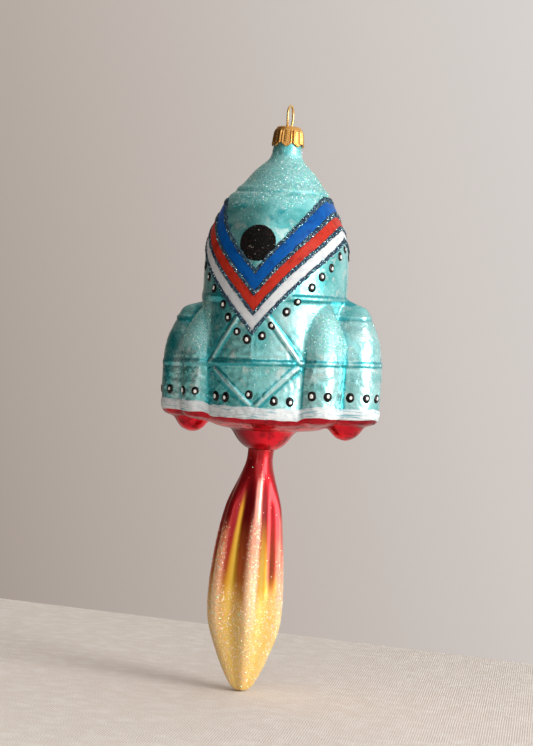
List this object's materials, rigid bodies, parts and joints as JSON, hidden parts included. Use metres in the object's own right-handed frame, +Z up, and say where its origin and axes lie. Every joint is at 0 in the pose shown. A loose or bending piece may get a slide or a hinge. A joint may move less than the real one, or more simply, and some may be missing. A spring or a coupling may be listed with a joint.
{
  "type": "blown glass rocket ornament",
  "caption": "Hanging blown-glass ornament shaped like a retro space rocket: booster body with painted chevron stripes and portholes, fluted flame tail, gold crown cap with wire loop.",
  "frame": {"origin": "inside top of the wire loop, the point the ornament hangs from", "axes": "+Z up along the blowing axis from the flame's tip to the hanging loop; -Y is the front porthole; +X to the right of that front"},
  "size_m": [0.0775, 0.0502, 0.2001],
  "materials": {
    "turquoise_glass": "satin",
    "flame_glass": "satin",
    "gold_cap": "polished",
    "gold_wire": "polished",
    "black_glitter": "rough glitter",
    "blue_enamel": "satin",
    "red_enamel": "satin",
    "white_enamel": "satin",
    "navy_glitter": "rough glitter",
    "red_lacquer": "metallic gloss",
    "black_enamel": "gloss"
  },
  "bodies": {
    "glass_body": {"rocket_shell": "turquoise_glass", "flame_shell": "flame_glass", "porthole": "black_glitter", "stripe_blue": "blue_enamel", "stripe_red": "red_enamel", "stripe_white": "white_enamel", "glitter_line_top": "navy_glitter", "glitter_line_blue": "navy_glitter", "glitter_line_red": "navy_glitter", "glitter_line_bottom": "navy_glitter", "hem_band": "white_enamel", "engine_lacquer": "red_lacquer", "stripe_rivets": "black_enamel", "stripe_rivet_centres": "white_enamel", "hem_rivets": "black_enamel", "hem_rivet_centres": "white_enamel"},
    "cap_body": {"hanger_cap": "gold_cap"},
    "hanger_body": {"hanger_wire": "gold_wire"}
  },
  "joints": [
    {"name": "cap_lift", "type": "slide", "parent": "glass_body", "child": "cap_body", "axis": [0, 0, 1], "range_m": [0, 0.026]},
    {"name": "hanger_tilt", "type": "hinge", "parent": "cap_body", "child": "hanger_body", "pos_m": [0, 0, -0.0068], "axis": [0, 1, 0], "range_deg": [-6, 6]}
  ]
}
